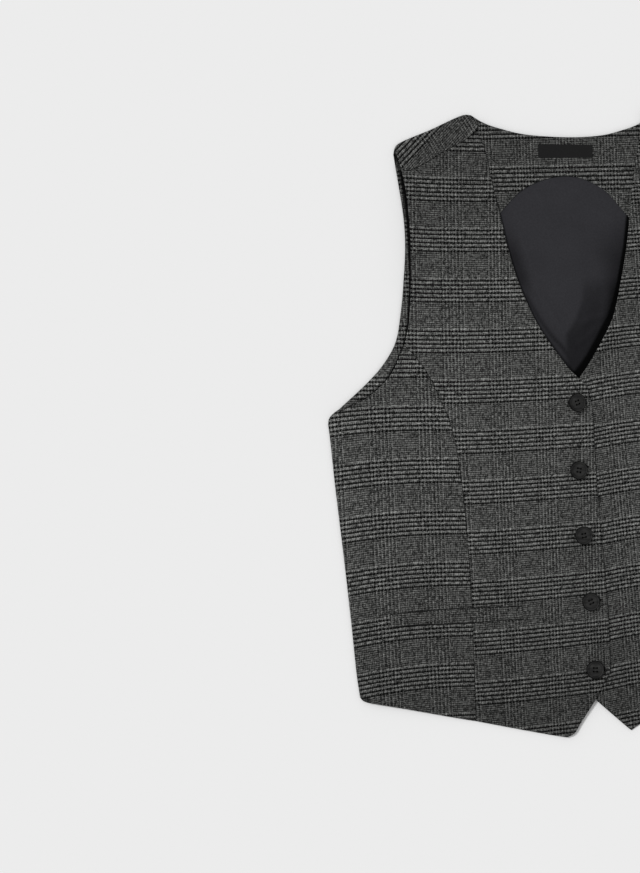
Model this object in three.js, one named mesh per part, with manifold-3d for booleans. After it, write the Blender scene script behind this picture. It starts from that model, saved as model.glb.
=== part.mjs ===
// Suit waistcoat, laid flat on its back: X across, Y up the body, Z up from the surface (mm).
// Sides are named as the wearer has them, so the wearer's right front lies at -X, on top.
import * as THREE from "three";
import { mergeVertices } from "three/addons/utils/BufferGeometryUtils.js";
import Module from "manifold-3d";

// Cloth and lay
const BACK_WALL = 1.2;
const LINING_WALL = 1.0;
const FRONT_WALL = 2.0;
const WELT_WALL = 1.2;
const LABEL_WALL = 0.8;
const GAP = 0.3;
const LINING_Z = BACK_WALL + GAP;
const FRONT_Z = LINING_Z + LINING_WALL + GAP;
const OVER_Z = FRONT_Z + FRONT_WALL + GAP;
const EDGE_ROLL = 1.2;
const SEAM_INSET = 8;
const MID_LENGTH = 283;

// Buttons
const BUTTON_DIAMETER = 17.8;
const BUTTON_HEIGHT = 3.2;
const BUTTON_RIM = 1.7;
const BUTTON_DISH = 0.5;
const BUTTON_HOLE = 1.6;
const BUTTON_HOLE_PITCH = 3.2;
const BUTTON_TILT = 0.035;

// Label at the back neck
const LABEL = { width: 50, height: 12.2, across: 2.4, down: 33.6, turn: -3.3 };

// Edges of one side: out from the centre line, down from the shoulder's neck point
const BACK_ARMHOLE = [
  { out: 155.5, down: 27.7 },
  { out: 153, down: 51 },
  { out: 150.5, down: 74 },
  { out: 149.3, down: 93 },
  { out: 149.7, down: 114 },
  { out: 152.8, down: 143 },
  { out: 156.7, down: 170 },
  { out: 164, down: 201 },
  { out: 178, down: 222 },
  { out: 191, down: 235 },
  { out: 219, down: 258.4 },
];
const UNDERARM = [
  { out: 219, down: 258.4 },
  { out: 225.3, down: 262.5 },
  { out: 229, down: 267 },
  { out: 229.8, down: 272 },
];
const FRONT_ARMHOLE_UPPER = [
  { out: 155.9, down: 203 },
  { out: 150.8, down: 184 },
  { out: 147.4, down: 156 },
  { out: 144.9, down: 114 },
  { out: 144.7, down: 93 },
  { out: 146.6, down: 58.6 },
  { out: 149.2, down: 41 },
];
const FRONT_ARMHOLE_LOWER = [
  { out: 229.8, down: 272 },
  { out: 227.5, down: 265.5 },
  { out: 220, down: 261.5 },
  { out: 208, down: 256.5 },
  { out: 193.7, down: 250 },
  { out: 179, down: 239 },
  { out: 168.5, down: 227.4 },
  { out: 155.9, down: 203 },
];
const SIDE_SEAM = [
  { out: 215, down: 524 },
  { out: 216.8, down: 505 },
  { out: 219, down: 459 },
  { out: 222.2, down: 400 },
  { out: 227, down: 323 },
  { out: 229, down: 282 },
  { out: 229.8, down: 272 },
];
const PRINCESS_SEAM = [
  { out: 109.7, down: 552 },
  { out: 108.3, down: 490 },
  { out: 107.3, down: 430 },
  { out: 108.4, down: 370 },
  { out: 110.5, down: 330 },
  { out: 113.5, down: 299 },
  { out: 118.7, down: 272.5 },
  { out: 125.7, down: 255.2 },
  { out: 133.7, down: 234.4 },
  { out: 143.8, down: 217.3 },
  { out: 155.9, down: 203 },
];
const SHOULDER_SEAM = [
  { out: 149.2, down: 41 },
  { out: 143.5, down: 43.4 },
  { out: 122.3, down: 34.8 },
  { out: 108, down: 27.1 },
  { out: 94.8, down: 21.1 },
  { out: 78.5, down: 11.5 },
];
const SHOULDER_FOLD = [
  { out: 154.6, down: 23 },
  { out: 152.2, down: 19 },
  { out: 120, down: 6.6 },
  { out: 88, down: -5.2 },
  { out: 82, down: -4.4 },
];
const STRIP_ARMHOLE_END = [
  { out: 149.2, down: 41 },
  { out: 152, down: 31 },
  { out: 154.6, down: 23 },
];
const STRIP_NECK_END = [
  { out: 78.5, down: 11.5 },
  { out: 76.6, down: 4 },
  { out: 82, down: -4.4 },
];

// What differs between the fronts as they lie: the neckline, the front edge, the cutaway and the hem
const FRONTS = {
  right: {
    neckline: [
      { out: -2.4, down: 242.8 },
      { out: 5.6, down: 234.3 },
      { out: 14.3, down: 221.6 },
      { out: 24.6, down: 205 },
      { out: 34.8, down: 185.6 },
      { out: 47, down: 153 },
      { out: 54.2, down: 125 },
      { out: 61, down: 87.5 },
      { out: 66.4, down: 59.6 },
      { out: 72.3, down: 24 },
      { out: 78.5, down: 11.5 },
    ],
    edge: [
      { out: -15.4, down: 514 },
      { out: -16.4, down: 500 },
      { out: -16.9, down: 461 },
      { out: -14.3, down: 383 },
      { out: -13, down: 320 },
      { out: -12.7, down: 270 },
      { out: -8.6, down: 250.5 },
      { out: -2.4, down: 242.8 },
    ],
    cutaway: [
      { out: 27, down: 571.5 },
      { out: 20.5, down: 568.6 },
      { out: 14, down: 559.3 },
      { out: -1, down: 538 },
      { out: -8, down: 525.6 },
      { out: -15.4, down: 514 },
    ],
    hem: [
      { out: 109.7, down: 552 },
      { out: 66, down: 562.8 },
      { out: 38, down: 569.4 },
      { out: 27, down: 571.5 },
    ],
  },
  left: {
    neckline: [
      { out: 3.2, down: 242 },
      { out: 9.5, down: 233.4 },
      { out: 17.8, down: 220.7 },
      { out: 28, down: 204.2 },
      { out: 36.5, down: 188 },
      { out: 46, down: 154.6 },
      { out: 53, down: 124 },
      { out: 59.9, down: 81.2 },
      { out: 64.4, down: 55.2 },
      { out: 70.9, down: 27.9 },
      { out: 78.5, down: 11.5 },
    ],
    edge: [
      { out: -15.4, down: 514 },
      { out: -16.4, down: 500 },
      { out: -16, down: 461 },
      { out: -14.3, down: 383 },
      { out: -13, down: 320 },
      { out: -12, down: 280 },
      { out: -6, down: 255 },
      { out: 3.2, down: 242 },
    ],
    cutaway: [
      { out: 32.1, down: 568.5 },
      { out: 28, down: 564.8 },
      { out: 19.9, down: 557 },
      { out: 1, down: 538.1 },
      { out: -8, down: 526 },
      { out: -15.4, down: 514 },
    ],
    hem: [
      { out: 109.7, down: 549 },
      { out: 66, down: 557.2 },
      { out: 44, down: 561.8 },
      { out: 32.1, down: 568.5 },
    ],
  },
};
const SIDE_HEM = [
  { out: 215, down: 524 },
  { out: 209.5, down: 529 },
  { out: 172.5, down: 537.4 },
  { out: 132, down: 547 },
  { out: 109.7, down: 552 },
];

// Back neck and the facing's lower edge, from the wearer's right to the left
const BACK_NECKLINE = [
  { across: -82, down: -4.4 },
  { across: -69.6, down: 4 },
  { across: -55.7, down: 9.5 },
  { across: -37.3, down: 15.2 },
  { across: -11.5, down: 19.3 },
  { across: 16.5, down: 21.4 },
  { across: 37.6, down: 20.8 },
  { across: 52, down: 18.2 },
  { across: 72.8, down: 11.6 },
  { across: 79, down: 5 },
  { across: 82, down: -4.4 },
];
const FACING_ARCH = [
  { across: -221, down: 322 },
  { across: -180, down: 285 },
  { across: -145, down: 252 },
  { across: -122, down: 222 },
  { across: -110, down: 190 },
  { across: -103, down: 160 },
  { across: -94, down: 132 },
  { across: -78, down: 108 },
  { across: -61.2, down: 87.5 },
  { across: -38.2, down: 66.5 },
  { across: -11.5, down: 57.2 },
  { across: 12, down: 58.3 },
  { across: 34.7, down: 70.3 },
  { across: 56.8, down: 97 },
  { across: 76, down: 116 },
  { across: 94, down: 136 },
  { across: 103, down: 160 },
  { across: 110, down: 190 },
  { across: 122, down: 222 },
  { across: 145, down: 252 },
  { across: 180, down: 285 },
  { across: 221, down: 322 },
];
const BACK_HEM_DROP = 4;
const LINING_HEM = 508;

// Pocket welt: distance out, its upper edge down from the neck point, and its depth there
const WELT = [
  { out: 61.5, down: 449.4, deep: 11.2 },
  { out: 84, down: 448.4, deep: 12 },
  { out: 108, down: 447.9, deep: 13 },
  { out: 135, down: 447.7, deep: 12.8 },
  { out: 160, down: 448.5, deep: 11.2 },
  { out: 183, down: 449.9, deep: 11.2 },
];

const BUTTONS = [
  { across: 0.4, down: 265 },
  { across: -2.2, down: 327 },
  { across: -1.3, down: 387.8 },
  { across: 2.3, down: 448.5 },
  { across: 1.7, down: 511.2 },
];

// Grid lines of the panels, as shares of their length and width
const PRINCESS_ROWS = 18;
const ARMHOLE_ROWS = 10;
const ARMHOLE_SHARE = 0.68;
const CUTAWAY_ROW = 3;
const V_POINT_ROW = 15;
const FRONT_COLUMNS = [0, 0.12, 0.25, 0.38, 0.5, 0.6, 0.69, 0.78, 0.86, 0.93, 1];
const SIDE_COLUMNS = [0, 0.05, 0.2, 0.36, 0.52, 0.68, 0.84, 1];
const STRIP_ROWS = [0, 0.35, 0.7, 1];
const BACK_COLUMNS = 20;

// ---------------------------------------------------------------- curves

const even = (n) => Array.from({ length: n + 1 }, (_, i) => i / n);
const smooth = (a, b, x) => THREE.MathUtils.smoothstep(x, Math.min(a, b), Math.max(a, b));

function curve(rows, side = 1) {
  const at = (r) => new THREE.Vector3(r.across ?? side * r.out, MID_LENGTH - r.down, 0);
  const line = new THREE.CatmullRomCurve3(rows.map(at), false, "centripetal");
  line.arcLengthDivisions = 400;
  return (t) => line.getPointAt(THREE.MathUtils.clamp(t, 0, 1));
}

// Several curves end to end, each over its own share of 0..1
function chain(...parts) {
  return (t) => {
    const part = parts.find((p) => t <= p.to + 1e-9) ?? parts[parts.length - 1];
    return part.of((t - part.from) / (part.to - part.from));
  };
}

// The surface between four edges: south and north run west to east, west and east run upwards
function coons(south, north, west, east, us, vs) {
  const [sw, se, nw, ne] = [south(0), south(1), north(0), north(1)];
  return vs.map((v) => us.map((u) => {
    const s = south(u);
    const n = north(u);
    const w = west(v);
    const e = east(v);
    const p = new THREE.Vector3();
    p.addScaledVector(s, 1 - v).addScaledVector(n, v);
    p.addScaledVector(w, 1 - u).addScaledVector(e, u);
    p.addScaledVector(sw, -(1 - u) * (1 - v)).addScaledVector(se, -u * (1 - v));
    p.addScaledVector(nw, -(1 - u) * v).addScaledVector(ne, -u * v);
    return p;
  }));
}

// Draws one edge of a grid in, so that two cloths meet with a gap
function drawIn(line, next, by) {
  line.forEach((p, i) => {
    const way = next[i].clone().sub(p).normalize();
    p.addScaledVector(way, by);
  });
}
const column = (grid, i) => grid.map((row) => row.at(i));

// ---------------------------------------------------------------- solids

function mesh(name, positions, index, colour, roughness) {
  const geometry = new THREE.BufferGeometry();
  geometry.setAttribute("position", new THREE.Float32BufferAttribute(positions, 3));
  geometry.setIndex(index);
  geometry.computeVertexNormals();
  const material = new THREE.MeshStandardMaterial({ color: colour, roughness });
  const made = new THREE.Mesh(geometry, material);
  made.name = name;
  return made;
}

// A cloth of even wall over a grid of plan points; lower(point, row, column) is its underside
function cloth(name, grid, lower, wall, colour) {
  const rows = grid.length;
  const cols = grid[0].length;
  const positions = [];
  for (const lift of [0, wall]) {
    grid.forEach((row, j) => row.forEach((p, i) => {
      positions.push(p.x, p.y, lower(p, j, i) + lift);
    }));
  }
  const id = (j, i, top) => top * rows * cols + j * cols + i;
  const faces = [];
  const quad = (a, b, c, d) => faces.push([a, b, c], [a, c, d]);
  for (let j = 0; j < rows - 1; j += 1) {
    for (let i = 0; i < cols - 1; i += 1) {
      quad(id(j, i, 1), id(j, i + 1, 1), id(j + 1, i + 1, 1), id(j + 1, i, 1));
      quad(id(j, i, 0), id(j + 1, i, 0), id(j + 1, i + 1, 0), id(j, i + 1, 0));
    }
  }
  for (let i = 0; i < cols - 1; i += 1) {
    quad(id(0, i, 0), id(0, i + 1, 0), id(0, i + 1, 1), id(0, i, 1));
    quad(id(rows - 1, i, 1), id(rows - 1, i + 1, 1), id(rows - 1, i + 1, 0), id(rows - 1, i, 0));
  }
  for (let j = 0; j < rows - 1; j += 1) {
    quad(id(j, 0, 1), id(j + 1, 0, 1), id(j + 1, 0, 0), id(j, 0, 0));
    quad(id(j, cols - 1, 0), id(j + 1, cols - 1, 0), id(j + 1, cols - 1, 1), id(j, cols - 1, 1));
  }
  const along = grid[0][cols - 1].clone().sub(grid[0][0]);
  const up = grid[rows - 1][0].clone().sub(grid[0][0]);
  const turned = along.x * up.y - along.y * up.x < 0;
  const index = faces.flatMap((f) => (turned ? [f[0], f[2], f[1]] : f));
  return mesh(name, positions, index, colour, 0.9);
}

const CHECK_GREY = 0x45454a;
const LINING_GREY = 0x303033;
const BLACK = 0x1c1c1e;

// ---------------------------------------------------------------- back, facing, lining

const backSide = (side) => chain(
  { from: 0, to: 0.5, of: curve(SIDE_SEAM, side) },
  { from: 0.5, to: 0.56, of: ((u) => (t) => u(1 - t))(curve(UNDERARM, side)) },
  { from: 0.56, to: 1, of: ((u) => (t) => u(1 - t))(curve(BACK_ARMHOLE, side)) },
);
const foldFromTip = (side) => curve([BACK_ARMHOLE[0], ...SHOULDER_FOLD], side);
const backTop = chain(
  { from: 0, to: 0.25, of: foldFromTip(-1) },
  { from: 0.25, to: 0.75, of: curve(BACK_NECKLINE) },
  { from: 0.75, to: 1, of: ((f) => (t) => f(1 - t))(foldFromTip(1)) },
);
const backHem = (t) => {
  const corner = SIDE_SEAM[0];
  const x = THREE.MathUtils.lerp(-corner.out, corner.out, t);
  return new THREE.Vector3(x, MID_LENGTH - corner.down + BACK_HEM_DROP * Math.sin(Math.PI * t), 0);
};

function backPanel() {
  const us = even(BACK_COLUMNS);
  const vs = [...even(12).map((t) => t * 0.5), 0.52, 0.54, 0.56, ...even(9).slice(1).map((t) => 0.56 + t * 0.44)];
  const grid = coons(backHem, backTop, backSide(-1), backSide(1), us, vs);
  return cloth("back_panel", grid, () => 0, BACK_WALL, CHECK_GREY);
}

// The facing runs from one side seam over the back neck to the other
const FACING_BREAKS = { shoulder: 0.6, neck: 0.76 };
function facingOuter(t) {
  const side = t < 0.5 ? -1 : 1;
  const s = Math.abs(t - 0.5) * 2;
  const neckEnd = 1 - FACING_BREAKS.neck;
  const tipEnd = 1 - FACING_BREAKS.shoulder;
  if (s <= neckEnd) {
    const half = 0.5 + side * (s / neckEnd) * 0.44;
    return curve(BACK_NECKLINE)(half);
  }
  const inFold = [
    { out: Math.abs(curve(BACK_NECKLINE)(0.5 + side * 0.44).x),
      down: MID_LENGTH - curve(BACK_NECKLINE)(0.5 + side * 0.44).y },
    { out: 96, down: 6.5 },
    { out: 144, down: 25 },
    { out: 154.3, down: 37 },
  ];
  if (s <= tipEnd) return curve(inFold, side)((s - neckEnd) / (tipEnd - neckEnd));
  const armhole = [{ out: 154.3, down: 37 }, ...BACK_ARMHOLE.slice(1)];
  return curve(armhole, side)((s - tipEnd) / (1 - tipEnd));
}
const facingInner = curve(FACING_ARCH);
const FACING_COLUMNS = [
  ...even(12).map((t) => t * 0.3),
  ...even(5).slice(1).map((t) => 0.3 + t * 0.08),
  ...even(6).slice(1).map((t) => 0.38 + t * 0.12),
];
const facingShares = [...FACING_COLUMNS, ...FACING_COLUMNS.slice(0, -1).reverse().map((t) => 1 - t)];
// Share of the arch that faces each share of the outer edge
const archShare = (t) => {
  const s = Math.abs(t - 0.5) * 2;
  const held = s < 0.24 ? s * 0.98 : s < 0.4 ? 0.235 + (s - 0.24) * 0.98 : 0.392 + (s - 0.4) * 1.0134;
  return 0.5 + Math.sign(t - 0.5) * held * 0.5;
};

function facing() {
  const inner = facingShares.map((t) => facingInner(archShare(t)));
  const outer = facingShares.map((t) => facingOuter(t));
  const rows = [0, 0.33, 0.67, 1];
  const grid = rows.map((v) => inner.map((p, i) => p.clone().lerp(outer[i], v)));
  return cloth("back_facing", grid, () => LINING_Z, LINING_WALL, CHECK_GREY);
}

function lining() {
  const top = facingShares.map((t) => facingInner(archShare(t)));
  const foot = MID_LENGTH - LINING_HEM;
  const halfFoot = 209;
  const grid = even(6).map((v) => top.map((p, i) => {
    const x = THREE.MathUtils.lerp(-halfFoot, halfFoot, (p.x + 221) / 442);
    return new THREE.Vector3(x, foot, 0).lerp(p, v);
  }));
  drawIn(grid[6], grid[5], GAP);
  return cloth("back_lining", grid, () => LINING_Z, LINING_WALL, LINING_GREY);
}

function label() {
  const turn = THREE.MathUtils.degToRad(LABEL.turn);
  const grid = [-0.5, 0.5].map((v) => even(4).map((u) => {
    const p = new THREE.Vector3((u - 0.5) * LABEL.width, v * LABEL.height, 0);
    p.applyAxisAngle(new THREE.Vector3(0, 0, 1), turn);
    return p.add(new THREE.Vector3(LABEL.across, MID_LENGTH - LABEL.down, 0));
  }));
  return cloth("neck_label", grid, () => LINING_Z + LINING_WALL + GAP, LABEL_WALL, BLACK);
}

// ---------------------------------------------------------------- fronts

const princessRows = even(PRINCESS_ROWS);
const frontRows = [
  ...princessRows.map((t) => t * ARMHOLE_SHARE),
  ...even(ARMHOLE_ROWS).slice(1).map((t) => ARMHOLE_SHARE + t * (1 - ARMHOLE_SHARE)),
];
const sideSign = { right: -1, left: 1 };

// The princess seam ends on the hem of its own front
function princess(name) {
  const foot = FRONTS[name].hem[0];
  return curve([foot, ...PRINCESS_SEAM.slice(1)], sideSign[name]);
}

function sideFront(name) {
  const side = sideSign[name];
  const hemRows = [...SIDE_HEM.slice(0, -1), FRONTS[name].hem[0]];
  const south = curve(hemRows, side);
  const north = curve(FRONT_ARMHOLE_LOWER, side);
  const grid = coons(south, north, curve(SIDE_SEAM, side), princess(name), SIDE_COLUMNS, princessRows);
  drawIn(column(grid, -1), column(grid, -2), GAP * 0.7);
  const lower = (p, j, i) => (i === 0 ? LINING_Z : FRONT_Z);
  return cloth(`${name}_side_front`, grid, lower, FRONT_WALL, CHECK_GREY);
}

function centreFront(name) {
  const side = sideSign[name];
  const own = FRONTS[name];
  const rowShare = ARMHOLE_SHARE / PRINCESS_ROWS;
  const cutTo = CUTAWAY_ROW * rowShare;
  const pointAt = V_POINT_ROW * rowShare;
  const west = chain(
    { from: 0, to: ARMHOLE_SHARE, of: princess(name) },
    { from: ARMHOLE_SHARE, to: 1, of: curve(FRONT_ARMHOLE_UPPER, side) },
  );
  const east = chain(
    { from: 0, to: cutTo, of: curve(own.cutaway, side) },
    { from: cutTo, to: pointAt, of: curve(own.edge, side) },
    { from: pointAt, to: 1, of: curve(own.neckline, side) },
  );
  const grid = coons(curve(own.hem, side), curve(SHOULDER_SEAM, side), west, east, FRONT_COLUMNS, frontRows);
  drawIn(column(grid, 0), column(grid, 1), GAP * 0.7);
  drawIn(grid.at(-1), grid.at(-2), GAP * 0.6);
  const columns = FRONT_COLUMNS.length - 1;
  const lower = (p, j, i) => {
    const down = MID_LENGTH - p.y;
    const over = name === "right" ? smooth(-50, -34, p.x) * smooth(198, 230, down) : 0;
    const v = frontRows[j];
    const alongV = v > pointAt ? Math.sin(Math.PI * (v - pointAt) / (1 - pointAt)) : 0;
    const roll = i === columns ? EDGE_ROLL * alongV : 0;
    return FRONT_Z + (OVER_Z - FRONT_Z) * over + roll;
  };
  return cloth(`${name}_centre_front`, grid, lower, FRONT_WALL, CHECK_GREY);
}

// The back's own cloth, brought forward over the shoulder to the seam
function shoulderStrip(name) {
  const side = sideSign[name];
  const seam = curve(SHOULDER_SEAM, side);
  const fold = curve(SHOULDER_FOLD, side);
  const tip = curve(STRIP_ARMHOLE_END, side);
  const neck = curve(STRIP_NECK_END, side);
  const grid = coons(seam, fold, tip, neck, FRONT_COLUMNS, STRIP_ROWS);
  drawIn(grid[0], grid[1], GAP * 0.6);
  const lower = (p, j) => (j === STRIP_ROWS.length - 1 ? LINING_Z : FRONT_Z);
  return cloth(`${name}_shoulder_strip`, grid, lower, FRONT_WALL, CHECK_GREY);
}

function welt(name) {
  const side = sideSign[name];
  const upper = curve(WELT, side);
  const lowerEdge = curve(WELT.map((r) => ({ out: r.out, down: r.down + r.deep })), side);
  const us = even(12);
  const grid = [us.map((u) => lowerEdge(u)), us.map((u) => upper(u))];
  return cloth(`${name}_pocket_welt`, grid, () => FRONT_Z + FRONT_WALL + GAP, WELT_WALL, CHECK_GREY);
}

// ---------------------------------------------------------------- buttons

const wasm = await Module();
wasm.setup();

// A three.js solid as a manifold: welded, with the flat triangles at the poles left out
function welded(geometry) {
  geometry.deleteAttribute("normal");
  geometry.deleteAttribute("uv");
  const whole = mergeVertices(geometry, 1e-4);
  const index = Array.from(whole.index.array);
  const triVerts = [];
  for (let i = 0; i < index.length; i += 3) {
    const [a, b, c] = index.slice(i, i + 3);
    if (a !== b && b !== c && c !== a) triVerts.push(a, b, c);
  }
  return new wasm.Manifold(new wasm.Mesh({
    numProp: 3,
    vertProperties: new Float32Array(whole.attributes.position.array),
    triVerts: new Uint32Array(triVerts),
  }));
}

function buttonSolid() {
  const r = BUTTON_DIAMETER / 2;
  const dish = r - BUTTON_RIM;
  const profile = [
    [0, 0], [r - 1.4, 0], [r - 0.3, 0.9], [r, 1.7], [r - 0.25, BUTTON_HEIGHT - 0.35],
    [r - 0.9, BUTTON_HEIGHT], [dish, BUTTON_HEIGHT - 0.1], [dish - 1.1, BUTTON_HEIGHT - BUTTON_DISH],
    [0, BUTTON_HEIGHT - BUTTON_DISH],
  ].map(([x, y]) => new THREE.Vector2(x, y));
  let solid = welded(new THREE.LatheGeometry(profile, 32).rotateX(Math.PI / 2));
  for (const sx of [-1, 1]) {
    for (const sy of [-1, 1]) {
      const hole = new THREE.CylinderGeometry(BUTTON_HOLE / 2, BUTTON_HOLE / 2, BUTTON_HEIGHT + 2, 10);
      hole.rotateX(Math.PI / 2);
      hole.translate(sx * BUTTON_HOLE_PITCH / 2, sy * BUTTON_HOLE_PITCH / 2, BUTTON_HEIGHT / 2);
      solid = solid.subtract(welded(hole));
    }
  }
  const body = solid.getMesh();
  const geometry = new THREE.BufferGeometry();
  geometry.setAttribute("position", new THREE.Float32BufferAttribute(body.vertProperties, 3));
  geometry.setIndex(Array.from(body.triVerts));
  return geometry;
}

function button(number, row) {
  const rise = OVER_Z + FRONT_WALL + GAP + (BUTTON_DIAMETER / 2) * Math.sin(BUTTON_TILT);
  const geometry = buttonSolid();
  geometry.rotateZ(THREE.MathUtils.degToRad(20));
  geometry.rotateY(BUTTON_TILT);
  geometry.translate(row.across, MID_LENGTH - row.down, rise);
  const positions = Array.from(geometry.attributes.position.array);
  return mesh(`button_${number}`, positions, Array.from(geometry.index.array), BLACK, 0.5);
}

// ---------------------------------------------------------------- the waistcoat

const waistcoat = new THREE.Group();
waistcoat.name = "waistcoat";
waistcoat.add(backPanel(), facing(), lining(), label());
for (const name of ["right", "left"]) {
  waistcoat.add(sideFront(name), centreFront(name), shoulderStrip(name), welt(name));
}
BUTTONS.forEach((row, i) => waistcoat.add(button(i + 1, row)));

// Origin: middle of the overall plan, on the surface it lies on
const box = new THREE.Box3().setFromObject(waistcoat);
const middle = box.getCenter(new THREE.Vector3());
waistcoat.children.forEach((m) => m.geometry.translate(-middle.x, -middle.y, -box.min.z));

export default waistcoat;
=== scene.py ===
"""A women's suit waistcoat in glen check, buttoned and laid flat on its back, seen from straight above.

Sides are the wearer's own, so the right front lies at -X and laps over the left. Tables give places on
the cloth in millimetres: out from the centre line (or across it), and down from the shoulder's neck point.
"""

import math

import bpy
import numpy as np
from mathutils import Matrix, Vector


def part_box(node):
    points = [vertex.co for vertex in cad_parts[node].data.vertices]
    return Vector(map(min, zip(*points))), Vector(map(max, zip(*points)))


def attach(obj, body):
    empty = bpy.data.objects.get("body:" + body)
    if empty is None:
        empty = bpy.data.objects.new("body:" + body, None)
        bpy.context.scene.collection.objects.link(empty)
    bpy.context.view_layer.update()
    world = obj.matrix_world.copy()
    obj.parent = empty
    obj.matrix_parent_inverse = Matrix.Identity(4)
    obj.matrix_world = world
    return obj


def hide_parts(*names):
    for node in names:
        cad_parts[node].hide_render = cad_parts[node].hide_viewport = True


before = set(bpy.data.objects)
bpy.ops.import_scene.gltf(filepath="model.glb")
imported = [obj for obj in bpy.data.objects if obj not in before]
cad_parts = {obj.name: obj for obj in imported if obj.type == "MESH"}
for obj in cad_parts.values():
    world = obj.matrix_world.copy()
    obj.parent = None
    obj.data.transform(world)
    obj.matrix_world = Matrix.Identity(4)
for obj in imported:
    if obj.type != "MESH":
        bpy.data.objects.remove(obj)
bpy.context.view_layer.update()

# --- sizes, in millimetres

MID_LENGTH = 283.0
BACK_WALL, LINING_WALL, FRONT_WALL, WELT_WALL = 1.2, 0.6, 2.0, 1.1
LINING_Z, FRONT_Z, OVER_Z = 1.5, 2.8, 5.1
SEAM_GAP = 0.12
EDGE_TURN = 1.3
STEP = 2.4

LABEL = dict(width=50.0, height=12.2, across=2.4, down=33.6, turn=-3.33)
BUTTON = dict(radius=8.5, height=3.2, hole=0.8, pitch=3.2, rim=1.5, dish=0.45)
BUTTONS = [(-1.7, 265.0), (-3.3, 327.0), (-2.2, 387.0), (0.7, 448.0), (1.2, 510.4)]
BUTTON_LEAN = [23.0, 16.0, 14.0, 16.0, 12.0]
HOLE_SHIFT = [(0.3, 0.3), (1.6, 2.8), (0.2, 0.4), (1.9, 0.8), (2.0, 0.6)]
BUTTON_TURN = [18.0, -12.0, 6.0, 20.0, -4.0]

# Edges of one side: (out, down)
BACK_ARMHOLE = [
    (155.5, 27.7), (153, 51), (150.5, 74), (149.3, 93), (149.7, 114), (152.8, 143),
    (156.7, 170), (164, 201), (178, 222), (191, 235), (219, 258.4),
]
UNDERARM = [(219, 258.4), (225.3, 262.5), (229, 267), (229.8, 272)]
FRONT_ARMHOLE_UPPER = [
    (155.9, 203), (150.8, 184), (147.4, 156), (144.9, 114), (144.7, 93), (146.6, 58.6), (149.2, 41),
]
FRONT_ARMHOLE_LOWER = [
    (229.8, 272), (227.5, 265.5), (220, 261.5), (208, 256.5), (193.7, 250), (179, 239),
    (168.5, 227.4), (155.9, 203),
]
SIDE_SEAM = [(215, 524), (216.8, 505), (219, 459), (222.2, 400), (227, 323), (229, 282), (229.8, 272)]
PRINCESS_SEAM = [
    (109.7, 552), (108.3, 490), (107.3, 430), (108.4, 370), (110.5, 330), (113.5, 299),
    (118.7, 272.5), (125.7, 255.2), (133.7, 234.4), (143.8, 217.3), (155.9, 203),
]
SHOULDER_SEAM = [(149.2, 41), (143.5, 43.4), (122.3, 34.8), (108, 27.1), (94.8, 21.1), (78.5, 11.5)]
SHOULDER_FOLD = [(154.6, 23), (152.2, 19), (120, 6.6), (88, -5.2), (82, -4.4)]
STRIP_TIP = [(149.2, 41), (152, 31), (154.6, 23)]
STRIP_NECK = [(78.5, 11.5), (76.6, 4), (82, -4.4)]
SIDE_HEM = [(215, 524), (212.6, 527.3), (207.5, 529.4), (201.6, 530.8), (172.5, 537.3), (132, 547)]

# The two fronts as they lie: (out, down), each from its foot upwards or from the seam inwards
NECKLINE = dict(
    right=[
        (-2.4, 242.8), (5.6, 234.3), (14.3, 221.6), (24.6, 205), (34.8, 185.6), (47, 153),
        (54.2, 125), (61, 87.5), (66.4, 59.6), (72.3, 24), (78.5, 11.5),
    ],
    left=[
        (3.2, 242), (9.5, 233.4), (17.8, 220.7), (28, 204.2), (36.5, 188), (46, 154.6),
        (53, 124), (59.9, 81.2), (64.4, 55.2), (70.9, 27.9), (78.5, 11.5),
    ],
)
FRONT_EDGE = dict(
    right=[
        (-15.4, 514), (-16.4, 500), (-16.9, 461), (-14.3, 383), (-13, 320), (-12.7, 270),
        (-8.6, 250.5), (-2.4, 242.8),
    ],
    left=[
        (-15.4, 514), (-16.4, 500), (-16, 461), (-14.3, 383), (-13, 320), (-12, 280),
        (-6, 255), (3.2, 242),
    ],
)
CUTAWAY = dict(
    right=[(27, 571.5), (20.5, 568.6), (14, 559.3), (-1, 538), (-8, 525.6), (-15.4, 514)],
    left=[(32.1, 568.5), (28, 564.8), (19.9, 557), (1, 538.1), (-8, 526), (-15.4, 514)],
)
FRONT_HEM = dict(
    right=[(109.7, 552), (66, 562.8), (38, 569.4), (27, 571.5)],
    left=[(109.7, 549), (66, 557.2), (44, 561.8), (32.1, 568.5)],
)

# Back neck and the facing's lower edge, from the wearer's right to the left: (across, down)
BACK_NECKLINE = [
    (-82, -4.4), (-69.6, 4), (-55.7, 9.5), (-37.3, 15.2), (-11.5, 19.3), (16.5, 21.4),
    (37.6, 20.8), (52, 18.2), (72.8, 11.6), (79, 5), (82, -4.4),
]
FACING_ARCH = [
    (-221, 322), (-180, 285), (-145, 252), (-122, 222), (-110, 190), (-103, 160), (-94, 132),
    (-78, 108), (-61.2, 87.5), (-38.2, 66.5), (-11.5, 57.2), (12, 58.3), (34.7, 70.3), (56.8, 97),
    (76, 116), (94, 136), (103, 160), (110, 190), (122, 222), (145, 252), (180, 285), (221, 322),
]
BACK_HEM_DROP = 4.0
LINING_HEM = (209.0, 508.0)

# Pocket welt: (out, upper edge down, depth)
WELT = [
    (61.5, 449.4, 11.2), (84, 448.4, 12), (108, 447.9, 13), (135, 447.7, 12.8),
    (160, 448.5, 11.2), (183, 449.9, 11.2),
]

# Seam along each long edge of a welt: its row of the plan, how far off it, and radii at the places out
WELT_SEAMS = dict(mouth=(-1, 0.35, (0.35, 0.4, 0.5, 0.35)), foot=(0, -0.3, (0.2, 0.35, 0.75, 0.6)))
WELT_SEAM_OUT = (61.5, 105, 122, 183)

SIGN = dict(right=-1, left=1)
# Where the ends of each front's edges fall along its length
PRINCESS_TOP, CUTAWAY_TOP, V_POINT = 0.68, 0.1133, 0.5667

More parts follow.
